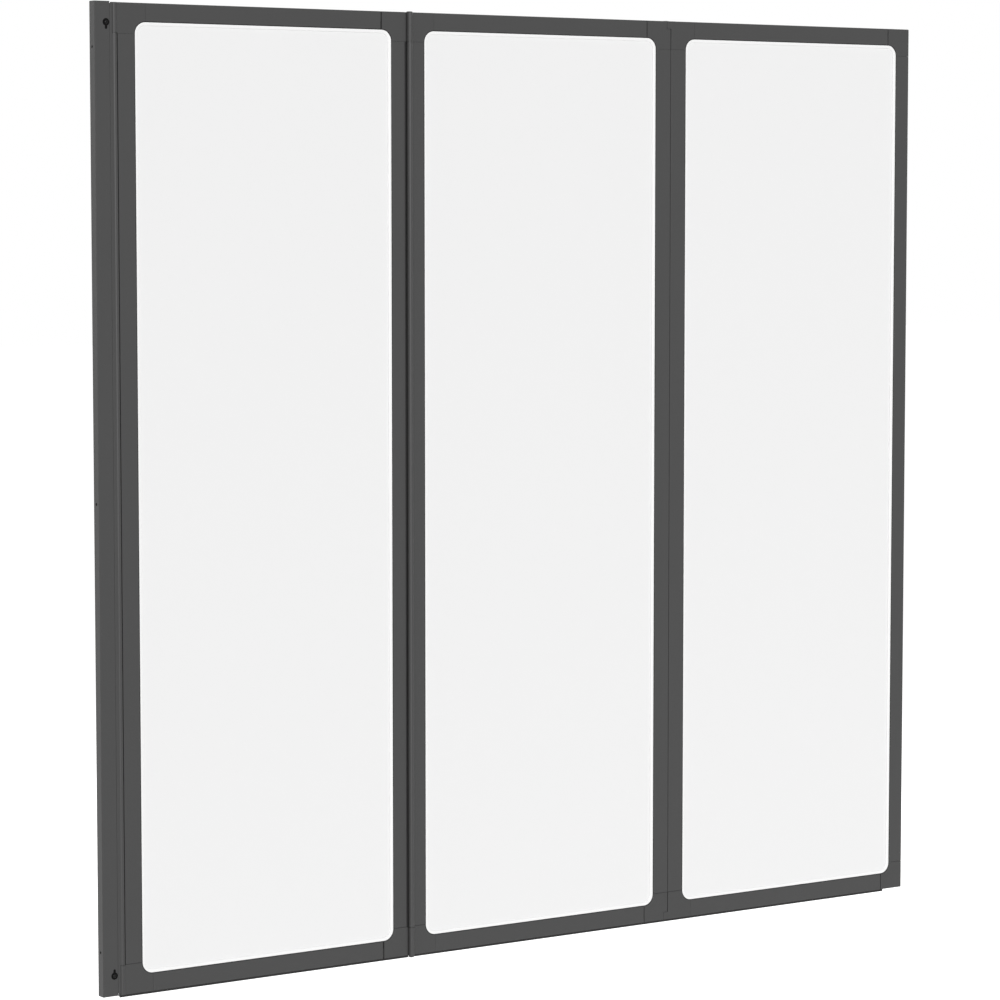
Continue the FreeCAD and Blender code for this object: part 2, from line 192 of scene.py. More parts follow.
class NodeGraph:
    """Node tree that is filled by one method."""

    def __init__(self, tree: bpy.types.NodeTree) -> None:
        """Empty the tree.

        Args:
            tree: Node tree of a material or a world.
        """
        self.tree = tree
        self.tree.nodes.clear()

    def add(
        self, kind: str, settings: Settings | None = None, sockets: Sockets | None = None
    ) -> bpy.types.Node:
        """Add a node, set its settings and then fill or link its inputs.

        Args:
            kind: Node type.
            settings: Attributes of the node.
            sockets: Value or signal of each named or numbered input.

        Returns:
            The new node.
        """
        node = self.tree.nodes.new(kind)
        for name, value in (settings or {}).items():
            setattr(node, name, value)
        for name, value in (sockets or {}).items():
            if isinstance(value, Signal):
                self.tree.links.new(value.socket, node.inputs[name])
            else:
                node.inputs[name].default_value = value
        return node

    def signal(
        self,
        kind: str,
        settings: Settings | None = None,
        sockets: Sockets | None = None,
        output: str | int = 0,
    ) -> Signal:
        """Add a node as add does and take one of its outputs.

        Args:
            kind: Node type.
            settings: Attributes of the node.
            sockets: Value or signal of each named or numbered input.
            output: Name or number of the output.

        Returns:
            That output.
        """
        return Signal(self, self.add(kind, settings, sockets).outputs[output])

    def noise(self, per_metre: float, detail: float) -> Signal:
        """Noise on the object's own coordinates.

        Args:
            per_metre: Number of grains along a metre.
            detail: Octaves of finer noise.

        Returns:
            Noise from 0 to 1.
        """
        place = self.signal("ShaderNodeTexCoord", output="Object")
        sockets = {"Vector": place, "Scale": per_metre, "Detail": detail}
        return self.signal("ShaderNodeTexNoise", sockets=sockets)

    def tint(self, amount: Signal, low: Sequence[float], high: Sequence[float]) -> Signal:
        """Colour that runs from one shade to another.

        Args:
            amount: Share of the second shade.
            low: First shade, linear RGB.
            high: Second shade, linear RGB.

        Returns:
            The mixed colour.
        """
        sockets = {"Factor": amount, MIX_FIRST: (*low, 1.0), MIX_SECOND: (*high, 1.0)}
        return self.signal("ShaderNodeMix", {"data_type": "RGBA"}, sockets, MIX_RESULT)

    def bump(self, height: Signal, strength: float, depth: float) -> Signal:
        """Normal bent by a height.

        Args:
            height: Height from 0 to 1.
            strength: Share of the effect.
            depth: Height of the relief in metres.

        Returns:
            The bent normal.
        """
        sockets = {"Height": height, "Strength": strength, "Distance": depth}
        return self.signal("ShaderNodeBump", sockets=sockets)


@dataclass(frozen=True)
class Finish:
    """Grained surface: a mottled colour, an uneven gloss and a fine relief.

    The colour swings about its mean by a fine and a broad noise, the roughness by the fine
    noise, and the relief is a third noise.
    """

    slot: Slot
    colour: tuple[float, float, float]
    roughness: float
    grain_per_metre: float
    grain_depth: float
    colour_swing: float = 0.08
    broad_swing: float = 0.03
    roughness_swing: float = 0.1
    metallic: float = 0.0
    specular: float = 0.5

    fine_share: ClassVar[float] = 0.6
    fine_detail: ClassVar[float] = 3.0
    broad_per_metre: ClassVar[float] = 5.0
    plain_detail: ClassVar[float] = 2.0
    relief_strength: ClassVar[float] = 0.35

    @cached_property
    def material(self) -> bpy.types.Material:
        """Material of this finish, made at its first use."""
        material = bpy.data.materials.new(self.slot.value)
        material.use_nodes = True
        graph = NodeGraph(material.node_tree)
        fine = graph.noise(self.grain_per_metre * self.fine_share, self.fine_detail)
        broad = graph.noise(self.broad_per_metre, self.plain_detail)
        grain = graph.noise(self.grain_per_metre, self.plain_detail)
        fine_swing, broad_swing = fine - NOISE_MEAN, broad - NOISE_MEAN
        share = NOISE_MEAN + fine_swing * self.colour_share + broad_swing * (1 - self.colour_share)
        swing = self.colour_swing + self.broad_swing
        low = [channel * (1 - swing) for channel in self.colour]
        high = [min(channel * (1 + swing), 1.0) for channel in self.colour]
        sockets = {
            "Base Color": graph.tint(share, low, high),
            "Roughness": self.roughness + fine_swing * self.roughness_swing,
            "Metallic": self.metallic,
            "Specular IOR Level": self.specular,
            "Normal": graph.bump(grain, self.relief_strength, self.grain_depth),
        }
        shader = graph.signal("ShaderNodeBsdfPrincipled", sockets=sockets)
        graph.add("ShaderNodeOutputMaterial", sockets={"Surface": shader})
        return material

    @property
    def colour_share(self) -> float:
        """Share of the fine noise in the colour's swing."""
        return self.colour_swing / (self.colour_swing + self.broad_swing)

    def dress(self, *nodes: str) -> None:
        """Give CAD nodes this finish.

        Args:
            nodes: Names of the nodes.
        """
        for name in nodes:
            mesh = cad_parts[name].data
            mesh.materials.clear()
            mesh.materials.append(self.material)
            LOG.info("%s: %s", name, self.slot.value)


POWDER_COAT = Finish(Slot.POWDER, (0.049, 0.049, 0.049), 0.44, 1500, 0.00012, specular=0.4)
MOULDED_PLASTIC = Finish(Slot.PLASTIC, (0.0474, 0.0474, 0.0474), 0.48, 2600, 0.00008, specular=0.4)
FROSTED_PANE = Finish(
    Slot.PANE, (0.908, 0.908, 0.908), 0.55, 2200, 0.00004,
    colour_swing=0.004, broad_swing=0.002, roughness_swing=0.06, specular=0.3,
)
WHITE_GASKET = Finish(
    Slot.GASKET, (0.975, 0.975, 0.973), 0.45, 1800, 0.00004, colour_swing=0.01, broad_swing=0.01,
)
# Dark rubber of the seals, also used for the painted shade line of the glazing flange
DARK_SEAL_AND_SHADE = Finish(
    Slot.SEAL, (0.02, 0.02, 0.02), 0.66, 2400, 0.00006, colour_swing=0.15, specular=0.25,
)
GREY_STRIP = Finish(Slot.SEAL, (0.042, 0.042, 0.042), 0.6, 2400, 0.00006, specular=0.3)
BUSH_PLASTIC = Finish(Slot.BUSH, (0.03, 0.03, 0.03), 0.4, 2000, 0.00003)
BLACK_FIXING = Finish(
    Slot.BLACK, (0.004, 0.004, 0.004), 0.26, 3000, 0.00001, roughness_swing=0.04, specular=0.2,
)
# Near-black pads in the keyhole recesses: painted shade of the recess
PAINTED_SHADE_PAD = Finish(Slot.BLACK, (0.005, 0.005, 0.005), 0.72, 2400, 0.00006, specular=0.08)
STEEL_FIXING = Finish(
    Slot.STEEL, (0.55, 0.55, 0.54), 0.34, 2600, 0.00003, metallic=1.0, roughness_swing=0.16,
)


def grid_quads(rows: int, columns: int, wrap_rows: bool) -> Array:
    """Quads between neighbouring points of closed rows that are numbered one after another.

    Args:
        rows: Number of rows.
        columns: Number of points in a row.
        wrap_rows: Whether the last row joins the first.

    Returns:
        Four point numbers for each quad.
    """
    row = np.arange(rows if wrap_rows else rows - 1)
    column = np.arange(columns)
    low_row, low_column = np.meshgrid(row, column, indexing="ij")
    high_row = (low_row + 1) % rows
    high_column = (low_column + 1) % columns
    corners = (
        low_row * columns + low_column,
        low_row * columns + high_column,
        high_row * columns + high_column,
        high_row * columns + low_column,
    )
    return np.stack(corners, axis=-1).reshape(-1, 4)


@dataclass(frozen=True)
class Shell:
    """Closed surface: points, and groups of faces that have the same number of corners."""

    points: Array
    faces: tuple[Array, ...]

    @property
    def volume(self) -> float:
        """Signed volume: each face fans out from its first corner into tetrahedra at the origin."""
        total = 0.0
        for group in self.faces:
            first = self.points[group[:, 0]]
            for corner in range(1, group.shape[1] - 1):
                second = self.points[group[:, corner]]
                third = self.points[group[:, corner + 1]]
                total += float(np.einsum("ij,ij->", first, np.cross(second, third)))
        return total / 6

    def outward(self) -> "Shell":
        """The same surface with its faces turned outwards.

        Returns:
            The surface, or a copy with every face turned over.
        """
        if self.volume >= 0:
            return self
        return Shell(self.points, tuple(group[:, ::-1] for group in self.faces))

    def moved(self, x: float, y: float, z: float) -> "Shell":
        """Copy of the surface at another place.

        Args:
            x: Distance along X.
            y: Distance along Y.
            z: Distance along Z.

        Returns:
            The copy.
        """
        return Shell(self.points + np.array((x, y, z)), self.faces)


def ring_shell(sections: Array) -> Shell:
    """Closed ring: closed sections that follow one another and lead back to the first.

    Args:
        sections: Points as section, place in the section, coordinate.

    Returns:
        The ring.
    """
    rows, columns = sections.shape[:2]
    return Shell(sections.reshape(-1, 3), (grid_quads(rows, columns, True),)).outward()


def capped_shell(sections: Array) -> Shell:
    """Closed bar: closed sections that follow one another, with a flat face at each end.

    Args:
        sections: Points as section, place in the section, coordinate.

    Returns:
        The bar.
    """
    rows, columns = sections.shape[:2]
    first = np.arange(columns)[None, ::-1]
    last = (rows - 1) * columns + np.arange(columns)[None, :]
    faces = (grid_quads(rows, columns, False), first, last)
    return Shell(sections.reshape(-1, 3), faces).outward()


def polar_shell(rings: Array, first_pole: Sequence[float], last_pole: Sequence[float]) -> Shell:
    """Closed surface of rings that follow one another from one pole to the other.

    Args:
        rings: Points as ring, place on the ring, coordinate.
        first_pole: Point inside the first ring.
        last_pole: Point inside the last ring.

    Returns:
        The surface, with a fan of triangles at each pole.
    """
    rows, columns = rings.shape[:2]
    points = np.concatenate([rings.reshape(-1, 3), [first_pole, last_pole]])
    here = np.arange(columns)
    there = (here + 1) % columns
    start = rows * columns
    last = (rows - 1) * columns
    first_fan = np.stack([np.full(columns, start), there, here], axis=-1)
    last_fan = np.stack([np.full(columns, start + 1), last + here, last + there], axis=-1)
    return Shell(points, (grid_quads(rows, columns, False), first_fan, last_fan)).outward()


def spread(x: Array, y: Array, z: Array) -> Array:
    """Points of a grid, from coordinates that reach over all of it or along one side.

    Args:
        x: X of the points.
        y: Y of the points.
        z: Z of the points.

    Returns:
        Points as row, column, coordinate.
    """
    return np.stack(np.broadcast_arrays(x, y, z), axis=-1)


def ends(start: float, end: float) -> Array:
    """Running coordinate of a straight bar, as a column for spread.

    Args:
        start: Where the bar starts.
        end: Where it ends.

    Returns:
        The two ends.
    """
    return np.array((start, end))[:, None]


def signed_power(values: Array, power: float) -> Array:
    """Power of the values' sizes, sign(v) |v|^p.

    Args:
        values: Values of either sign.
        power: Exponent.

    Returns:
        The powers, with the values' signs.
    """
    return np.sign(values) * np.abs(values) ** power


def show(
    name: str, shells: Sequence[Shell], finish: Finish, body: Body, stands_for: Sequence[str]
) -> None:
    """Make one piece of the screen from surfaces in millimetres.

    Args:
        name: Name of the piece.
        shells: Its surfaces.
        finish: Its finish.
        body: Body that it moves with.
        stands_for: CAD nodes that it replaces, if any.
    """
    starts = np.cumsum([0] + [len(shell.points) for shell in shells])
    faces: list[list[int]] = []
    for shell, start in zip(shells, starts):
        for group in shell.faces:
            faces += (group + start).tolist()
    mesh = bpy.data.meshes.new(name)
    points = np.concatenate([shell.points for shell in shells]) * MM
    mesh.from_pydata(points.tolist(), [], faces)
    mesh.polygons.foreach_set("use_smooth", np.ones(len(mesh.polygons), dtype=bool))
    mesh.set_sharp_from_angle(angle=CREASE_ANGLE)
    mesh.materials.append(finish.material)
    piece = bpy.data.objects.new(name, mesh)
    bpy.context.scene.collection.objects.link(piece)
    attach(piece, body.value)
    if stands_for:
        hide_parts(*stands_for)
    LOG.info("%s: %d faces on %s", name, len(mesh.polygons), body.value)


def node_box(node: str) -> tuple[Array, Array]:
    """Lowest and highest corner of a CAD node in millimetres.

    Args:
        node: Name of the node.

    Returns:
        The two corners.
    """
    low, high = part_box(node)
    return np.array(low) / MM, np.array(high) / MM


def spokes(count: int) -> Array:
    """Angles that divide a full turn evenly.

    Args:
        count: Number of angles.

    Returns:
        The angles, from 0.
    """
    return np.linspace(0, 2 * np.pi, count, endpoint=False)


def hexagon_reach(angles: Array, corner_radius: float) -> Array:
    """Distance from a hexagon's centre to its outline: apothem / cos(angle from the flat's middle).

    Args:
        angles: Directions.
        corner_radius: Distance from the centre to a corner.

    Returns:
        The distance in each direction.
    """
    sixth = np.pi / 3
    from_flat = np.mod(angles, sixth) - sixth / 2
    return corner_radius * np.cos(sixth / 2) / np.cos(from_flat)


def cross_reach(angles: Array, arm: float, half_width: float) -> Array:
    """Distance from a cross's centre to its outline: the farther of its two bars' outlines.

    Args:
        angles: Directions.
        arm: Length of an arm from the centre.
        half_width: Half the width of an arm.

    Returns:
        The distance in each direction.
    """
    across = np.maximum(np.abs(np.cos(angles)), TINY)
    upwards = np.maximum(np.abs(np.sin(angles)), TINY)
    level_bar = np.minimum(arm / across, half_width / upwards)
    upright_bar = np.minimum(half_width / across, arm / upwards)
    return np.maximum(level_bar, upright_bar)


def screw_shell(
    reaches: Array, depths: Sequence[float], angles: Array, poles: tuple[float, float]
) -> Shell:
    """Screw whose axis is Y: rings with their own outlines, one behind another.

    Args:
        reaches: Distance from the axis, as ring and direction.
        depths: Y of each ring.
        angles: Directions, from +X towards +Z.
        poles: Y of the point in the driver's recess and of the tip.

    Returns:
        The screw, with its axis at the origin.
    """
    rings = spread(reaches * np.cos(angles), np.array(depths)[:, None], reaches * np.sin(angles))
    return polar_shell(rings, (0, poles[0], 0), (0, poles[1], 0))


@dataclass
class ClampScrew:
    """Dome-headed screw with a hexagon socket and the keyhole-shaped pad under its head, whose
    near-black colour is painted shade of the keyhole recess.
    """

    head_radius: float = 2.5
    head_height: float = 1.3
    socket_radius: float = 1.1
    socket_depth: float = 0.7
    socket_floor_rise: float = 0.05
    socket_taper: float = 0.94
    socket_flare: float = 1.08
    socket_rim_depths: tuple[float, float] = (0.12, 0.02)
    shank_radius: float = 1.5
    length: float = 7.6
    tip_chamfer: float = 0.5
    dome_power: float = 2.0
    dome_shares: tuple[float, ...] = (0.3, 0.55, 0.75, 0.88, 0.96, 1.0)
    pad_radius: float = 4.4
    pad_thickness: float = 0.7
    pad_hole_radius: float = 1.65
    pad_edge: float = 0.2
    pad_edge_insets: tuple[float, float] = (1.6, 0.5)
    pad_edge_drop: float = 0.3
    pad_spoke_power: float = 1.7
    tail_half_width: float = 1.5
    tail_length: float = 8.4
    spoke_count: int = 48
    pad_spoke_count: int = 120

    def screw(self) -> Shell:
        """Screw with the top of its head at the origin, pointing to +Y.

        The dome falls off as 1 - (1 - (r / R)^p)^(1 / p), and the socket is a sunk hexagon.

        Returns:
            The screw.
        """
        angles = spokes(self.spoke_count)
        flat = np.ones_like(angles)
        socket = hexagon_reach(angles, self.socket_radius)
        mouth = socket * self.socket_flare
        shares = np.array(self.dome_shares)[:, None]
        dome = mouth * (1 - shares) + self.head_radius * shares
        fall = shares.ravel() ** self.dome_power
        dome_depths = self.head_height * (1 - (1 - fall) ** (1 / self.dome_power))
        shank, end = self.shank_radius, self.length
        under = np.outer((shank, shank, shank - self.tip_chamfer), flat)
        reaches = np.concatenate([[socket * self.socket_taper, socket, mouth], dome, under])
        depths = [self.socket_depth - self.socket_floor_rise, *self.socket_rim_depths, *dome_depths]
        depths += [self.head_height, end - self.tip_chamfer, end]
        return screw_shell(reaches, depths, angles, (self.socket_depth, end))

    def pad_reach(self, angles: Array) -> Array:
        """Distance from the pad's centre to its outline, with the tail at angle 0.

        The tail's end is a circle at c: c cos a + sqrt(r^2 - c^2 sin^2 a), its sides r / sin a,
        and the pad's own radius is taken where that reaches further.

        Args:
            angles: Directions.

        Returns:
            The distance in each direction.
        """
        centre = self.tail_length - self.tail_half_width
        rise = np.abs(np.sin(angles))
        under_root = np.maximum(self.tail_half_width**2 - (centre * rise) ** 2, 0)
        end = centre * np.cos(angles) + np.sqrt(under_root)
        sides = self.tail_half_width / np.maximum(rise, TINY)
        on_end = centre * rise <= self.tail_half_width
        tail = np.where(np.cos(angles) > 0, np.where(on_end, end, sides), 0)
        return np.maximum(tail, self.pad_radius)

    def pad(self, tail_direction: int) -> Shell:
        """Pad with its face at the origin, its back towards +Y and its rim rounded.

        Its spokes crowd towards the tail as sign(v) |v|^p.

        Args:
            tail_direction: 1 where the tail points up, -1 where it points down.

        Returns:
            The pad.
        """
        turn = np.linspace(-1, 1, self.pad_spoke_count, endpoint=False)
        angles = np.pi * signed_power(turn, self.pad_spoke_power)
        outline = self.pad_reach(angles)
        hole = np.full_like(angles, self.pad_hole_radius)
        edge, back = self.pad_edge, self.pad_thickness
        face, shoulder = (outline - inset * edge for inset in self.pad_edge_insets)
        reaches = np.stack([hole, face, shoulder, outline, outline, hole])
        depths = np.array((0.0, 0.0, self.pad_edge_drop * edge, edge, back, back))[:, None]
        upwards = reaches * np.cos(angles) * tail_direction
        return ring_shell(spread(reaches * np.sin(angles), depths, upwards))


@dataclass
class WallAssembly:
    """Wall channel with its end caps and clamp screws, and the profile that slides in it."""

    clamp: ClampScrew = field(default_factory=ClampScrew)

    def build(self) -> None:
        """Dress the extrusions and make the clamp screws and their pads."""
        POWDER_COAT.dress("wall_channel", "adjusting_profile")
        MOULDED_PLASTIC.dress("channel_top_cap", "channel_bottom_cap")
        STEEL_FIXING.dress("clamp_plates")
        low, high = node_box("clamp_screws")
        x = (low[0] + high[0]) / 2
        head_top = low[1]
        heights = (low[2] + self.clamp.head_radius, high[2] - self.clamp.head_radius)
        screws = [self.clamp.screw().moved(x, head_top, z) for z in heights]
        show("clamp_screw_heads", screws, BLACK_FIXING, Body.CHANNEL, ["clamp_screws"])
        pad_face = head_top + self.clamp.head_height
        tails = zip(heights, (1, -1))
        shade_pads = [self.clamp.pad(tail).moved(x, pad_face, z) for z, tail in tails]
        # Near-black pads: painted shade of the keyhole recesses round the screw heads
        show("clamp_shade_pads", shade_pads, PAINTED_SHADE_PAD, Body.CHANNEL, ["clamp_washers"])


@dataclass
class HingePin:
    """Hinge pin, with a domed cap or sunk into the panel's end."""

    radius: float = 2.0
    length: float = 56.25
    tip_chamfer: float = 0.5
    cap_radius: float = 3.8
    cap_edge: float = 0.15
    cap_clearance: float = 0.02
    wall_share: float = 0.5
    dome_power: float = 0.6
    dome_sweep: float = 88.0
    dome_points: int = 9
    spoke_count: int = 40

    def turned(self, reach: Sequence[float], height: Sequence[float], end: PanelEnd) -> Shell:
        """Outline turned about Z and closed at both poles.

        Args:
            reach: Distance of each ring from the axis.
            height: Height of each ring, counted out of the panel.
            end: End of the panel that the pin sits in.

        Returns:
            The pin, with the panel's end at the origin.
        """
        angles = spokes(self.spoke_count)
        level = np.array(height)[:, None] * end.value
        rings = spread(np.outer(reach, np.cos(angles)), np.outer(reach, np.sin(angles)), level)
        return polar_shell(rings, (0, 0, height[0] * end.value), (0, 0, height[-1] * end.value))

    def capped(self, cap: float, end: PanelEnd) -> Shell:
        """Pin with a domed cap: r = R cos(t)^p, h = wall + rise sin(t).

        Args:
            cap: Thickness of the cap.
            end: End of the panel that the pin sits in.

        Returns:
            The pin, with the panel's end at the origin.
        """
        turn = np.linspace(0, np.radians(self.dome_sweep), self.dome_points)
        wall = cap * self.wall_share
        dome_reach = self.cap_radius * np.cos(turn) ** self.dome_power
        dome_height = wall + (cap - wall) * np.sin(turn)
        edge, under = self.cap_edge, self.cap_clearance
        reach = [self.radius - self.tip_chamfer, self.radius, self.radius, self.cap_radius - edge]
        reach += [self.cap_radius, *dome_reach]
        height = [-self.length, self.tip_chamfer - self.length, under, under, under + edge]
        height += dome_height.tolist()
        return self.turned(reach, height, end)

    def sunk(self, depth: float, end: PanelEnd) -> Shell:
        """Plain pin with chamfered ends whose head lies below the panel's end.

        Args:
            depth: How far the head lies below it.
            end: End of the panel that the pin sits in.

        Returns:
            The pin, with the panel's end at the origin.
        """
        small, chamfer = self.radius - self.tip_chamfer, self.tip_chamfer
        height = [-self.length, chamfer - self.length, -depth - chamfer, -depth]
        return self.turned([small, self.radius, self.radius, small], height, end)


@dataclass
class HingeLine:
    """Pins, bushes and seals of one hinge."""

    name: str
    pin_body: Body
    seal_body: Body
    capped: bool = True
    pin: HingePin = field(default_factory=HingePin)
    cap_top: float = 1.0
    cap_bottom: float = 3.0
    sunk_depth: float = 1.0
    rib_count: int = 3
    rib_points: int = 37
    seal_floor: float = 0.28
    bead_radius: float = 4.0
    bead_clearance: float = 0.4
    hollow_radius: float = 8.6
    hollow_forward: float = 4.2
    wiper_start: float = 0.75
    wiper_depth: float = 3.4
    wiper_turns: tuple[float, float] = (48.0, 30.0)
    wiper_sag: float = 0.25
    wiper_points: int = 9
    wiper_clearance: float = 0.02
    slot_far: float = 5.68
    slot_floor: float = 3.0
    slot_sunk: float = 1.4
    slot_end: float = 0.3

    def build(self) -> None:
        """Make the pins and the seals, and dress the bushes."""
        BUSH_PLASTIC.dress(self.name + "_hinge_bushes")
        node = self.name + "_hinge_pins"
        low, high = node_box(node)
        x, y = (low[0] + high[0]) / 2, (low[1] + high[1]) / 2
        if self.capped:
            top_pin = self.pin.capped(self.cap_top, PanelEnd.TOP)
            bottom_pin = self.pin.capped(self.cap_bottom, PanelEnd.BOTTOM)
            top, bottom = high[2] - self.cap_top, low[2] + self.cap_bottom
        else:
            top_pin = self.pin.sunk(self.sunk_depth, PanelEnd.TOP)
            bottom_pin = self.pin.sunk(self.sunk_depth, PanelEnd.BOTTOM)
            top, bottom = high[2] + self.sunk_depth, low[2] - self.sunk_depth
        pins = [top_pin.moved(x, y, top), bottom_pin.moved(x, y, bottom)]
        show(self.name + "_turned_pins", pins, MOULDED_PLASTIC, self.pin_body, [node])
        seal = [self.gap_seal()]
        show(self.name + "_ribbed_seal", seal, GREY_STRIP, self.seal_body, [self.name + "_gap_seal"])
        if self.capped:
            show(self.name + "_wiper_strip", self.wipers(x, y), GREY_STRIP, self.pin_body, [])

    def gap_seal(self) -> Shell:
        """Strip with rounded ribs on its free side, carried along Z.

        Its thickness over its width v is floor + (full - floor) |sin(ribs pi v)|.

        Returns:
            The strip.
        """
        low, high = node_box(self.name + "_gap_seal")
        share = np.linspace(0, 1, self.rib_points)
        full = high[0] - low[0]
        ribs = np.abs(np.sin(self.rib_count * np.pi * share))
        thickness = self.seal_floor + (full - self.seal_floor) * ribs
        x = np.concatenate([high[0] - thickness, [high[0], high[0]]])
        y = np.concatenate([low[1] + (high[1] - low[1]) * share, [high[1], low[1]]])
        return capped_shell(spread(x, y, ends(low[2], high[2])))

    def wiper_section(self) -> Array:
        """Section of the soft strip in the hollow of the stile that faces the bead.

        Its back follows the hollow, u = sqrt(R^2 - (w + forward)^2), its edge keeps a clearance
        from the round bead, and its face sags a little between the two.

        Returns:
            Points (u towards the stile, w behind the axis) round it.
        """
        depth = np.linspace(self.wiper_start, self.wiper_depth, self.wiper_points)
        reach = np.sqrt(self.hollow_radius**2 - (depth + self.hollow_forward) ** 2)
        back = np.stack([reach, depth], axis=-1)
        turn = np.radians(np.linspace(*self.wiper_turns, self.wiper_points))
        near = self.bead_radius + self.bead_clearance
        edge = near * np.stack([np.cos(turn), np.sin(turn)], axis=-1)
        sagging = (back[0] + edge[-1]) / 2 + np.array((0, self.wiper_sag))
        return np.concatenate([back, edge, sagging[None]])

    def slot_section(self) -> Array:
        """Section of the strip's ends, which lie in the straight slots of the corner pieces.

        Returns:
            Points (u towards the stile, w behind the axis) round it.
        """
        near, far = self.bead_radius + self.wiper_clearance, self.slot_far
        sunk, floor = self.slot_sunk, self.slot_floor
        middle = ((near + far) / 2, sunk + self.wiper_sag / 2)
        return np.array(((near, floor), (far, floor), (far, sunk), middle, (near, sunk)))

    def wipers(self, x: float, y: float) -> list[Shell]:
        """Soft strip along a fold's bead: one length on the stile and one in each corner piece.

        Args:
            x: X of the hinge's axis.
            y: Y of the hinge's axis.

        Returns:
            The three lengths.
        """
        body = self.pin_body.value
        low, high = node_box(f"{body}_right_stile")
        bottom = node_box(f"{body}_bottom_right_corner")[0][2] + self.slot_end
        top = node_box(f"{body}_top_right_corner")[1][2] - self.slot_end
        runs = (
            (self.wiper_section(), low[2], high[2]),
            (self.slot_section(), bottom, low[2] - self.slot_end),
            (self.slot_section(), high[2] + self.slot_end, top),
        )
        side = np.sign(y)
        return [
            capped_shell(spread(x - section[:, 0], y - side * section[:, 1], ends(start, end)))
            for section, start, end in runs
        ]


@dataclass
class CornerScrew:
    """Countersunk screw with a cross recess, flush with the rear face of a panel."""

    head_radius: float = 2.38
    head_depth: float = 1.1
    shank_radius: float = 1.3
    length: float = 5.95
    arm: float = 1.4
    arm_half_width: float = 0.33
    recess_depth: float = 0.9
    recess_floor_share: float = 0.9
    recess_rim_depth: float = 0.12
    recess_shares: tuple[float, float, float] = (0.55, 0.95, 1.04)
    rim_share: float = 0.94
    rim_drop: float = 0.07
    tip_length: float = 0.8
    tip_share: float = 0.5
    sunk: float = 0.06
    spoke_count: int = 64

    def shell(self) -> Shell:
        """Screw with the panel's rear face at the origin, pointing to -Y.

        Returns:
            The screw.
        """
        angles = spokes(self.spoke_count)
        flat = np.ones_like(angles)
        recess = cross_reach(angles, self.arm, self.arm_half_width)
        rim, shank, top = self.head_radius, self.shank_radius, self.sunk
        face = rim * self.rim_share
        walls = [recess * share for share in self.recess_shares]
        turned = np.outer((face, rim, shank, shank, shank * self.tip_share), flat)
        reaches = np.concatenate([[*walls, (recess + face) / 2], turned])
        floor = top + self.recess_depth * self.recess_floor_share
        depths = (
            floor, top + self.recess_rim_depth, top, top,
            top, top + self.rim_drop, self.head_depth, self.length - self.tip_length, self.length,
        )
        poles = (-(top + self.recess_depth), -self.length)
        return screw_shell(reaches, [-depth for depth in depths], angles, poles)


@dataclass
class DripSeal:
    """Strip under a bottom rail: a base with a curved front lip and a short rear fin.

    Points are pairs (along Y, along Z): of the lip's end from its front and tip, of the fin's end
    from the fin and its tip, and of the rounded back from the back and the base's lower side.
    """

    base_thickness: float = 0.8
    lip_thickness: float = 0.9
    lip_end: tuple[tuple[float, float], ...] = ((0.0, 0.3), (0.12, 0.08), (0.35, 0.0), (0.65, 0.05))
    bend_share: float = 1.1
    bend_drop: float = 0.2
    root_width: float = 2.8
    curve_points: int = 9
    fin_place: float = 4.7
    fin_drop: float = 1.6
    fin_roots: tuple[float, float] = (-0.7, 0.3)
    fin_end: tuple[tuple[float, float], ...] = ((-0.32, 0.15), (-0.1, 0.0), (0.12, 0.1))
    back_edge: tuple[tuple[float, float], ...] = ((-0.25, 0.0), (-0.05, 0.15), (0.0, 0.35))

    def shell(self, low: Array, high: Array) -> Shell:
        """Seal that fills a box, carried along X.

        The lip's inner side is a curve of second degree from its tip to the base.

        Args:
            low: Lowest corner of the box.
            high: Highest corner of the box.

        Returns:
            The closed bar.
        """
        front, back = low[1], high[1]
        tip, top = low[2], high[2]
        base = top - self.base_thickness
        fin = front + self.fin_place
        t = np.linspace(0, 1, self.curve_points)[:, None]
        start = np.array((front + self.lip_thickness, tip + self.lip_end[0][1]))
        bend = np.array((front + self.bend_share * self.lip_thickness, base - self.bend_drop))
        root = np.array((front + self.root_width, base))
        outline = (
            [(front, top)],
            np.array((front, tip)) + self.lip_end,
            (1 - t) ** 2 * start + 2 * t * (1 - t) * bend + t**2 * root,
            [(fin + self.fin_roots[0], base)],
            np.array((fin, top - self.fin_drop)) + self.fin_end,
            [(fin + self.fin_roots[1], base)],
            np.array((back, base)) + self.back_edge,
            [(back, top)],
        )
        section = np.concatenate(outline)
        return capped_shell(spread(ends(low[0], high[0]), section[:, 0], section[:, 1]))


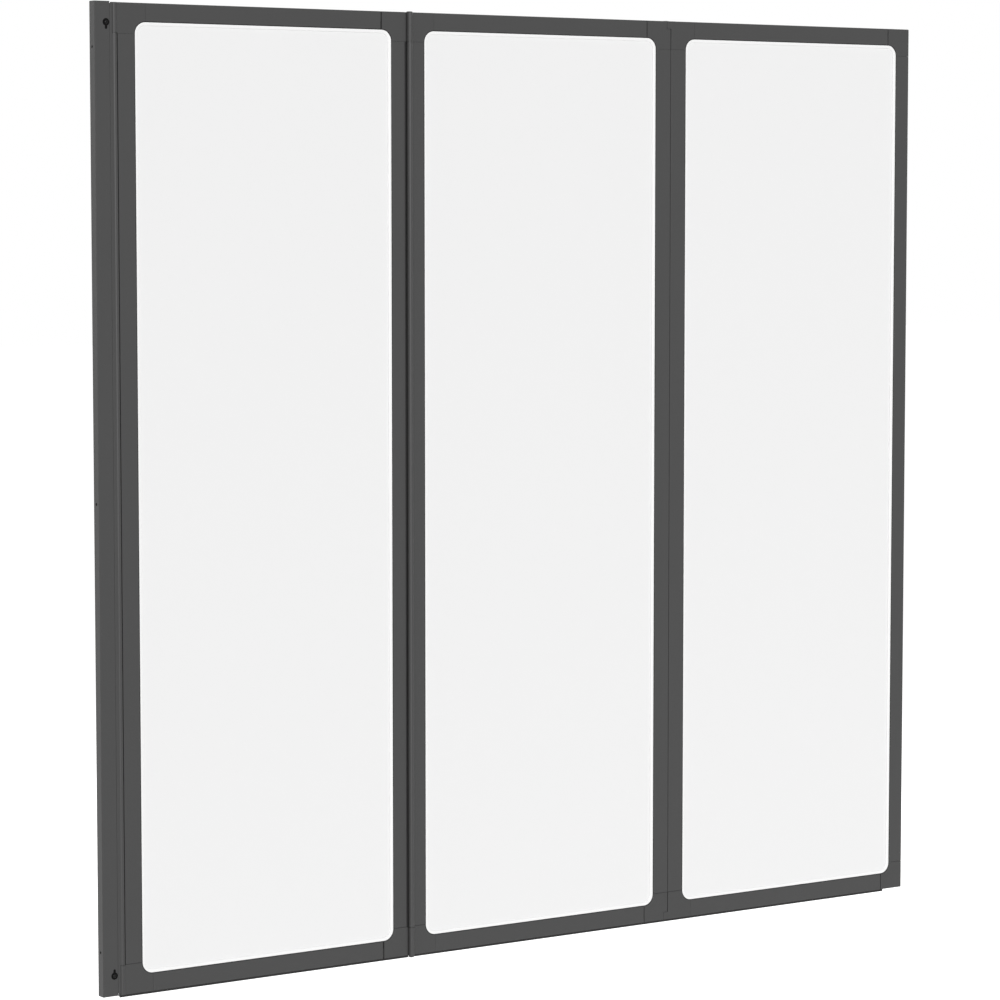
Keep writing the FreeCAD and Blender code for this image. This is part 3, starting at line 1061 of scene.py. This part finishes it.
@dataclass
class Panel:
    """One framed pane: extrusions, corner pieces, gasket, drip seal and corner screws."""

    name: str
    body: Body
    screw: CornerScrew = field(default_factory=CornerScrew)
    seal: DripSeal = field(default_factory=DripSeal)
    pane_bite: float = 6.0
    opening_radius: float = 15.0
    bed_rim: float = 1.0
    bed_height: float = 2.8
    flange_height: float = 3.75
    flange_shoulder: float = 3.5
    flange_clearance: float = 0.02
    lip_reach: float = 4.0
    lip_height: float = 3.5
    lip_tip: float = 0.6
    pane_face: float = 1.55
    lip_power: float = 2.4
    lip_points: int = 13
    arc_points: int = 13
    frame_back: float = 6.0
    rail_seam: float = 1.0
    shim_bands: tuple[tuple[float, float], ...] = ((0.4, 1.55), (12.45, 14.55))
    shim_half_depth: float = 4.6
    shim_power: float = 6.0
    shim_spokes: int = 32

    def build(self) -> None:
        """Dress the frame and the pane, and make the soft and small pieces."""
        sides = ("left_stile", "right_stile", "top_rail", "bottom_rail")
        POWDER_COAT.dress(*[f"{self.name}_{side}" for side in sides])
        corners = [f"{end}_{side}_corner" for end in ("top", "bottom") for side in ("left", "right")]
        MOULDED_PLASTIC.dress(*[f"{self.name}_{corner}" for corner in corners])
        FROSTED_PANE.dress(self.name + "_pane")
        DARK_SEAL_AND_SHADE.dress(self.name + "_glazing_bed")
        lips = [self.carried(self.lip_section(), face) for face in PaneFace]
        show(self.name + "_glazing_strip", lips, WHITE_GASKET, self.body, [self.name + "_gasket"])
        # Dark strip between frame and lip: painted shade of the gap there
        shade_flange = [self.carried(self.flange_section(), PaneFace.FRONT)]
        show(self.name + "_painted_shade_flange", shade_flange, DARK_SEAL_AND_SHADE, self.body, [])
        drip_node = self.name + "_drip_seal"
        drip_lip = [self.seal.shell(*node_box(drip_node))]
        show(self.name + "_drip_lip", drip_lip, DARK_SEAL_AND_SHADE, self.body, [drip_node])
        show(self.name + "_seam_shims", self.seam_shims(), DARK_SEAL_AND_SHADE, self.body, [])
        self.show_screws()

    def opening_path(self) -> tuple[Array, Array]:
        """Outline of the pane's opening, a rectangle with round corners.

        Each corner is a quarter circle about a point one radius inside both edges.

        Returns:
            Points (x, z) along the outline, and the inward direction at each of them.
        """
        low, high = node_box(self.name + "_pane")
        bite = self.pane_bite + self.opening_radius
        centres_x = np.array((high[0], low[0], low[0], high[0])) + np.array((-1, 1, 1, -1)) * bite
        centres_z = np.array((high[2], high[2], low[2], low[2])) + np.array((-1, -1, 1, 1)) * bite
        quarter = np.linspace(0, np.pi / 2, self.arc_points)
        turn = (np.arange(4)[:, None] * np.pi / 2 + quarter).ravel()
        outward = np.stack([np.cos(turn), np.sin(turn)], axis=-1)
        centres = np.stack([centres_x, centres_z], axis=-1).repeat(self.arc_points, axis=0)
        return centres + self.opening_radius * outward, -outward

    def lip_section(self) -> Array:
        """Section of the raised lip on one face of the pane, beside the glazing bed's rim.

        Its height over its reach v is tip + (full - tip) (1 - v^p)^(1 / p).

        Returns:
            Points (inward from the opening's outline, height from the pane's middle) round it.
        """
        turn = np.linspace(0, np.pi / 2, self.lip_points)
        reach = self.bed_rim + self.lip_reach * np.sin(turn) ** (2 / self.lip_power)
        tip = self.pane_face + self.lip_tip
        height = tip + (self.lip_height - tip) * np.cos(turn) ** (2 / self.lip_power)
        foot = [(reach[-1], self.pane_face), (reach[0], self.pane_face)]
        return np.concatenate([np.stack([reach, height], axis=-1), foot])

    def flange_section(self) -> Array:
        """Section of a dark strip at the glazing bed's rim, whose dark colour is a painted shade
        line between frame and lip.

        Its top is a half ellipse from the frame's edge to the lip.

        Returns:
            Points (inward from the opening's outline, height from the pane's middle) round it.
        """
        turn = np.linspace(0, np.pi, self.lip_points)
        half = self.bed_rim / 2 - self.flange_clearance
        reach = self.bed_rim / 2 - half * np.cos(turn)
        height = self.flange_shoulder + (self.flange_height - self.flange_shoulder) * np.sin(turn)
        foot = [(reach[-1], self.bed_height), (reach[0], self.bed_height)]
        return np.concatenate([np.stack([reach, height], axis=-1), foot])

    def carried(self, section: Array, face: PaneFace) -> Shell:
        """Strip on one face of the pane: its section carried round the opening.

        Args:
            section: Points (inward from the opening's outline, height from the pane's middle).
            face: Face of the pane.

        Returns:
            The closed ring.
        """
        path, inward = self.opening_path()
        low, high = node_box(self.name + "_pane")
        flat = path[:, None, :] + inward[:, None, :] * section[None, :, :1]
        height = (low[1] + high[1]) / 2 + section[:, 1] * face.value
        return ring_shell(spread(flat[..., 0], height, flat[..., 1]))

    def seam_shims(self) -> list[Shell]:
        """Plates that close the seams at the rails' right ends, behind the faces of the frame.

        A plate's section is |y / a|^p + |z / b|^p = 1, carried along X through the seam.

        Returns:
            Two plates at each end of the panel.
        """
        turn = spokes(self.shim_spokes)
        across = self.shim_half_depth * signed_power(np.cos(turn), 2 / self.shim_power)
        upwards = signed_power(np.sin(turn), 2 / self.shim_power)
        shells = []
        for end in PanelEnd:
            low, high = node_box(f"{self.name}_{end.name.lower()}_rail")
            level = high[2] if end is PanelEnd.TOP else low[2]
            seam = ends(high[0], high[0] + self.rail_seam)
            for near, far in self.shim_bands:
                middle = level - end.value * (near + far) / 2
                rise = (far - near) / 2
                shells.append(capped_shell(spread(seam, across, middle + rise * upwards)))
        return shells

    def show_screws(self) -> None:
        """Make the eight corner screws where the CAD has them."""
        node = self.name + "_corner_screws"
        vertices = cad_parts[node].data.vertices
        points = np.empty(3 * len(vertices))
        vertices.foreach_get("co", points)
        centres = self.screw_centres(points.reshape(-1, 3)[:, (0, 2)] / MM)
        screws = [self.screw.shell().moved(x, self.frame_back, z) for x, z in centres]
        show(f"{self.name}_cross_screws", screws, STEEL_FIXING, self.body, [node])

    def screw_centres(self, places: Array) -> Array:
        """Centres of the groups of points that lie closer together than a head's radius.

        Args:
            places: Points (x, z).

        Returns:
            One centre (x, z) for each group.
        """
        order = np.lexsort((places[:, 0], places[:, 1]))
        steps = np.diff(places[order, 1]) > self.screw.head_radius
        bands = np.split(order, np.flatnonzero(steps) + 1)
        centres = []
        for band in bands:
            along = band[np.argsort(places[band, 0])]
            gaps = np.diff(places[along, 0]) > self.screw.head_radius
            for group in np.split(along, np.flatnonzero(gaps) + 1):
                corner = places[group]
                centres.append((corner.min(0) + corner.max(0)) / 2)
        return np.array(centres)


@dataclass(frozen=True)
class Lamp:
    """Square lamp: its place and its side in metres, and its power in watts."""

    name: str
    place: tuple[float, float, float]
    side: float
    power: float

    def make(self, target: Sequence[float]) -> None:
        """Make the lamp.

        Args:
            target: Point that it faces.
        """
        light = bpy.data.lights.new(self.name, "AREA")
        light.size = self.side
        light.energy = self.power
        lamp = bpy.data.objects.new(self.name, light)
        lamp.location = self.place
        toward = Vector(target) - Vector(self.place)
        lamp.rotation_euler = toward.to_track_quat("-Z", "Y").to_euler()
        bpy.context.scene.collection.objects.link(lamp)


@dataclass
class Studio:
    """White room: floor, soft lamps, world and the camera at the photograph's angle. Metres."""

    floor_level: float = -1.16
    floor_half: float = 30.0
    floor_colour: float = 0.78
    floor_shade: float = 0.99
    floor_grain_per_metre: float = 40.0
    floor_grain_detail: float = 2.0
    floor_glow: float = 0.6
    world_light: float = 0.52
    key_strength: float = 1.42
    key_spread: float = 14.0
    key_from: tuple[float, float, float] = (-0.22, -0.96, 0.16)
    camera_place: tuple[float, float, float] = (-2.01059, -3.84489, 0.36561)
    camera_heading: float = 34.0557
    camera_dip: float = 4.775
    lens: float = 129.011
    sensor: float = 36.0
    sight: float = 200.0
    target: tuple[float, float, float] = (0.6, 0.0, 0.0)
    lamps: tuple[Lamp, ...] = (
        Lamp("rear_lamp", (0.6, 5.0, 2.2), 3.0, 98.0),
        Lamp("side_lamp", (5.6, 2.2, 1.6), 3.0, 92.0),
    )

    def build(self) -> None:
        """Make the room."""
        self.make_floor()
        self.make_world()
        for lamp in self.lamps:
            lamp.make(self.target)
        self.make_key()
        self.make_camera()
        bpy.context.scene.view_settings.view_transform = "Standard"

    def seen(self, graph: NodeGraph) -> Signal:
        """Whether the eye, a reflection or a clear body looks at the room.

        Args:
            graph: Graph that asks.

        Returns:
            1 for such a ray, 0 for one that only gathers light.
        """
        path = graph.add("ShaderNodeLightPath")
        names = ("Is Camera Ray", "Is Glossy Ray", "Is Transmission Ray")
        camera, glossy, transmission = (Signal(graph, path.outputs[name]) for name in names)
        return 1 - (1 - camera) * (1 - glossy) * (1 - transmission)

    def make_floor(self) -> None:
        """Pale floor that keeps a shadow; where it is looked at, a glow lifts it to white."""
        half = self.floor_half
        corners = np.array(((-half, -half, 0), (half, -half, 0), (half, half, 0), (-half, half, 0)))
        mesh = bpy.data.meshes.new("floor")
        mesh.from_pydata((corners + (0, 0, self.floor_level)).tolist(), [], [[0, 1, 2, 3]])
        material = bpy.data.materials.new("pale_floor")
        material.use_nodes = True
        graph = NodeGraph(material.node_tree)
        pale = (self.floor_colour,) * 3
        grain = graph.noise(self.floor_grain_per_metre, self.floor_grain_detail)
        shade = graph.tint(grain, [self.floor_shade * part for part in pale], pale)
        plain = graph.signal("ShaderNodeBsdfDiffuse", sockets={"Color": shade})
        strength = self.seen(graph) * self.floor_glow
        glow = graph.signal("ShaderNodeEmission", sockets={"Strength": strength})
        both = graph.signal("ShaderNodeAddShader", sockets={0: plain, 1: glow})
        graph.add("ShaderNodeOutputMaterial", sockets={"Surface": both})
        mesh.materials.append(material)
        floor = bpy.data.objects.new("floor", mesh)
        bpy.context.scene.collection.objects.link(floor)

    def make_world(self) -> None:
        """World that is white where it is looked at and lights the screen evenly."""
        world = bpy.data.worlds.new("white_room")
        world.use_nodes = True
        graph = NodeGraph(world.node_tree)
        strength = self.world_light + (1 - self.world_light) * self.seen(graph)
        sockets = {"Color": (1, 1, 1, 1), "Strength": strength}
        sky = graph.signal("ShaderNodeBackground", sockets=sockets)
        graph.add("ShaderNodeOutputWorld", sockets={"Surface": sky})
        bpy.context.scene.world = world

    def make_key(self) -> None:
        """Soft parallel light from the front and above, even over the whole screen."""
        light = bpy.data.lights.new("key_light", "SUN")
        light.energy = self.key_strength
        light.angle = math.radians(self.key_spread)
        lamp = bpy.data.objects.new("key_light", light)
        lamp.rotation_euler = Vector(self.key_from).to_track_quat("Z", "Y").to_euler()
        bpy.context.scene.collection.objects.link(lamp)

    def make_camera(self) -> None:
        """Camera at the photograph's place and angle."""
        lens = bpy.data.cameras.new("camera")
        lens.lens = self.lens
        lens.sensor_width = self.sensor
        lens.clip_end = self.sight
        camera = bpy.data.objects.new("camera", lens)
        camera.location = self.camera_place
        tilt = math.radians(90 - self.camera_dip)
        camera.rotation_euler = Euler((tilt, 0, -math.radians(self.camera_heading)))
        bpy.context.scene.collection.objects.link(camera)
        bpy.context.scene.camera = camera


def main() -> None:
    """Build the screen and the room round it."""
    logging.basicConfig(level=logging.INFO, format="%(name)s %(message)s")
    WallAssembly().build()
    hinges = (
        HingeLine("wall", Body.PANEL_1, Body.PANEL_1, capped=False),
        HingeLine("fold_1", Body.PANEL_1, Body.PANEL_2),
        HingeLine("fold_2", Body.PANEL_2, Body.PANEL_3),
    )
    panels = (
        Panel("panel_1", Body.PANEL_1, rail_seam=2.0),
        Panel("panel_2", Body.PANEL_2),
        Panel("panel_3", Body.PANEL_3),
    )
    for assembly in (*hinges, *panels):
        assembly.build()
    Studio().build()


if __name__ == "__main__":
    main()
